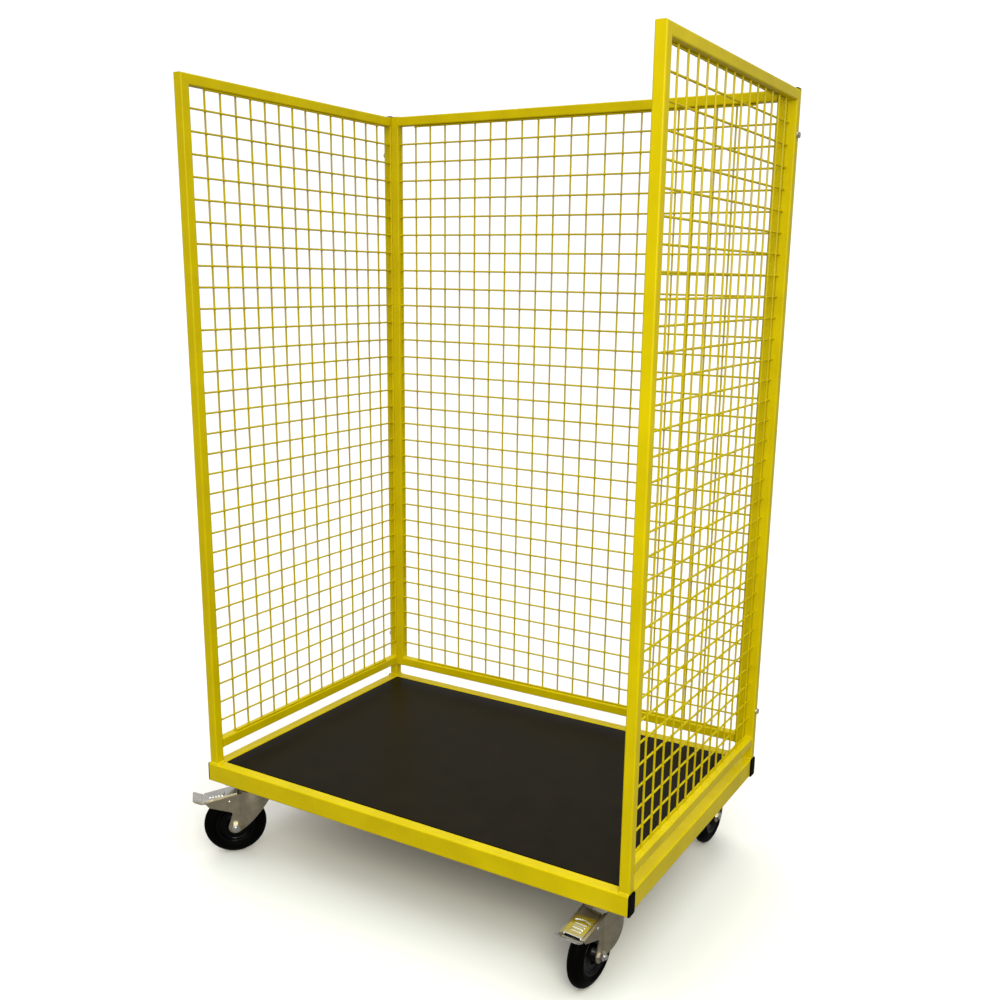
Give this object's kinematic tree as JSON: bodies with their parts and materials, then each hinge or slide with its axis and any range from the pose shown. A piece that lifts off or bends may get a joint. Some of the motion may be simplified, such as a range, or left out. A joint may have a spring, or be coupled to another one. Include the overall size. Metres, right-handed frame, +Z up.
{
  "type": "open-sided mesh trolley",
  "caption": "Tall platform trolley with wire-mesh panels on the back and both sides, an open front, a dark deck and castors, two of them braked swivels.",
  "frame": {"origin": "on the floor under the middle of the base frame", "axes": "+X to the right seen from the open front, +Y to the rear panel, +Z up"},
  "size_m": [1.2548, 0.9189, 1.9425],
  "materials": {
    "yellow_powder_coat": "yellow powder coat, satin gloss",
    "zinc_plated_steel": "zinc-plated pressed sheet",
    "bright_bolt_zinc": "bright zinc-plated fasteners",
    "black_plastic": "moulded black polyethylene",
    "film_faced_board": "dark brown phenolic film on plywood",
    "black_rubber": "solid black rubber",
    "rim_plastic": "moulded black polypropylene",
    "bush_plastic": "moulded plain bearing"
  },
  "bodies": {
    "frame": {"base_front_rail": "yellow_powder_coat", "base_left_rail": "yellow_powder_coat", "base_rail_end_caps": "black_plastic", "base_rear_rail": "yellow_powder_coat", "base_right_rail": "yellow_powder_coat", "castor_bolts": "bright_bolt_zinc", "corner_plates": "yellow_powder_coat", "deck_bearers": "yellow_powder_coat", "deck_board": "film_faced_board", "deck_screws": "bright_bolt_zinc", "front_left_castor_plate": "zinc_plated_steel", "front_right_castor_plate": "zinc_plated_steel", "left_bottom_rail": "yellow_powder_coat", "left_front_post": "yellow_powder_coat", "left_mesh": "yellow_powder_coat", "left_rear_post": "yellow_powder_coat", "left_top_rail": "yellow_powder_coat", "panel_bolts": "bright_bolt_zinc", "panel_rivet_nuts": "bright_bolt_zinc", "panel_washers": "bright_bolt_zinc", "post_caps": "black_plastic", "rear_axle_bolts": "bright_bolt_zinc", "rear_axle_nuts": "bright_bolt_zinc", "rear_bottom_rail": "yellow_powder_coat", "rear_left_fork": "zinc_plated_steel", "rear_left_post": "yellow_powder_coat", "rear_mesh": "yellow_powder_coat", "rear_right_fork": "zinc_plated_steel", "rear_right_post": "yellow_powder_coat", "rear_top_rail": "yellow_powder_coat", "right_bottom_rail": "yellow_powder_coat", "right_front_post": "yellow_powder_coat", "right_mesh": "yellow_powder_coat", "right_rear_post": "yellow_powder_coat", "right_top_rail": "yellow_powder_coat"},
    "front_left_swivel": {"front_left_axle_bolt": "bright_bolt_zinc", "front_left_axle_nut": "bright_bolt_zinc", "front_left_fork": "zinc_plated_steel", "front_left_pedal_rivets": "bright_bolt_zinc"},
    "front_left_wheel": {"front_left_bush": "bush_plastic", "front_left_rim": "rim_plastic", "front_left_tyre": "black_rubber"},
    "front_left_brake": {"front_left_brake_pedal": "zinc_plated_steel", "front_left_brake_shoe": "black_rubber"},
    "front_right_swivel": {"front_right_axle_bolt": "bright_bolt_zinc", "front_right_axle_nut": "bright_bolt_zinc", "front_right_fork": "zinc_plated_steel", "front_right_pedal_rivets": "bright_bolt_zinc"},
    "front_right_wheel": {"front_right_bush": "bush_plastic", "front_right_rim": "rim_plastic", "front_right_tyre": "black_rubber"},
    "front_right_brake": {"front_right_brake_pedal": "zinc_plated_steel", "front_right_brake_shoe": "black_rubber"},
    "rear_left_wheel": {"rear_left_bush": "bush_plastic", "rear_left_rim": "rim_plastic", "rear_left_tyre": "black_rubber"},
    "rear_right_wheel": {"rear_right_bush": "bush_plastic", "rear_right_rim": "rim_plastic", "rear_right_tyre": "black_rubber"}
  },
  "joints": [
    {"name": "front_left_castor_swivel", "type": "hinge", "parent": "frame", "child": "front_left_swivel", "pos_m": [-0.514, -0.334, 0.18], "axis": [0, 0, 1], "continuous": true},
    {"name": "front_left_wheel_spin", "type": "hinge", "parent": "front_left_swivel", "child": "front_left_wheel", "pos_m": [-0.55082, -0.37212, 0.08], "axis": [0.7193, -0.6947, 0], "continuous": true},
    {"name": "front_left_brake_press", "type": "hinge", "parent": "front_left_swivel", "child": "front_left_brake", "pos_m": [-0.55985, -0.38148, 0.152], "axis": [0.7193, -0.6947, 0], "range_deg": [0, 8]},
    {"name": "front_right_castor_swivel", "type": "hinge", "parent": "frame", "child": "front_right_swivel", "pos_m": [0.514, -0.334, 0.18], "axis": [0, 0, 1], "continuous": true},
    {"name": "front_right_wheel_spin", "type": "hinge", "parent": "front_right_swivel", "child": "front_right_wheel", "pos_m": [0.50984, -0.38684, 0.08], "axis": [0.9969, -0.0785, 0], "continuous": true},
    {"name": "front_right_brake_press", "type": "hinge", "parent": "front_right_swivel", "child": "front_right_brake", "pos_m": [0.50882, -0.3998, 0.152], "axis": [0.9969, -0.0785, 0], "range_deg": [0, 8]},
    {"name": "rear_left_wheel_spin", "type": "hinge", "parent": "frame", "child": "rear_left_wheel", "pos_m": [-0.504, 0.345, 0.08], "axis": [-1, 0, 0], "continuous": true},
    {"name": "rear_right_wheel_spin", "type": "hinge", "parent": "frame", "child": "rear_right_wheel", "pos_m": [0.504, 0.345, 0.08], "axis": [-1, 0, 0], "continuous": true}
  ]
}
